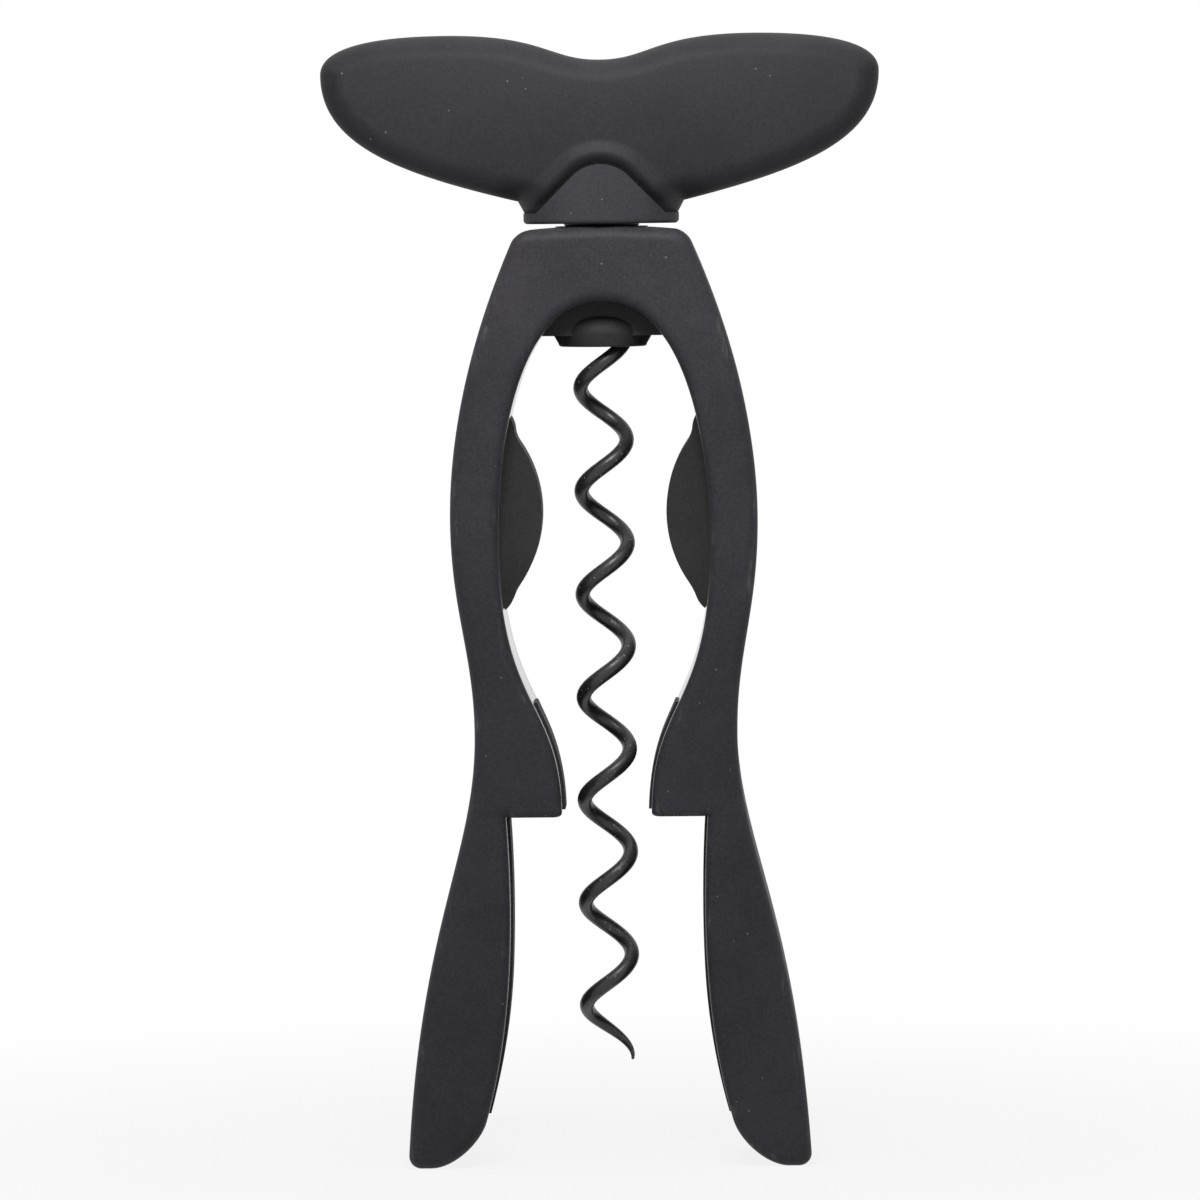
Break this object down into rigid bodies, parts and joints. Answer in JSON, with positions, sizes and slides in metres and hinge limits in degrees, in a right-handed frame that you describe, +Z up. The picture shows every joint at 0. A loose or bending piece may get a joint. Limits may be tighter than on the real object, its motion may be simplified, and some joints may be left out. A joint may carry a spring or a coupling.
{
  "type": "corkscrew",
  "caption": "Self-pulling corkscrew on two sprung legs: a lobed twist handle turns an open worm that lifts out of a bushed bridge over a cork cage.",
  "frame": {"origin": "on the table, midway between the two feet, under the worm's axis", "axes": "+Z up along the worm, +X to the right seen from the front, -Y the front"},
  "size_m": [0.0838, 0.0262, 0.1707],
  "materials": {
    "soft_touch": "soft-touch black over nylon",
    "soft_touch_hub": "soft-touch black over nylon",
    "frame_nylon": "moulded black nylon",
    "grip_rubber": "matte black elastomer",
    "bush_acetal": "smooth black acetal",
    "worm_coating": "baked black non-stick coating",
    "bare_steel": "ground"
  },
  "bodies": {
    "frame": {"frame_core": "frame_nylon", "front_cover": "soft_touch", "back_cover": "soft_touch", "frame_pegs": "frame_nylon", "guide_bush": "bush_acetal", "right_cork_grip": "grip_rubber", "left_cork_grip": "grip_rubber", "right_shoulder_pad": "grip_rubber", "left_shoulder_pad": "grip_rubber", "right_neck_pad": "grip_rubber", "left_neck_pad": "grip_rubber"},
    "washer": {"thrust_washer": "bush_acetal"},
    "screw": {"hub": "soft_touch_hub", "worm": "worm_coating", "worm_anchor": "bare_steel", "cross_pin": "bare_steel", "handle_front_shell": "soft_touch", "handle_back_shell": "soft_touch", "handle_insert": "frame_nylon", "handle_pegs": "frame_nylon"}
  },
  "joints": [
    {"name": "screw_lift", "type": "slide", "parent": "frame", "child": "washer", "axis": [0, 0, 1], "range_m": [0, 0.13]},
    {"name": "handle_spin", "type": "hinge", "parent": "washer", "child": "screw", "pos_m": [0, 0, 0.1423], "axis": [0, 0, 1], "continuous": true}
  ]
}
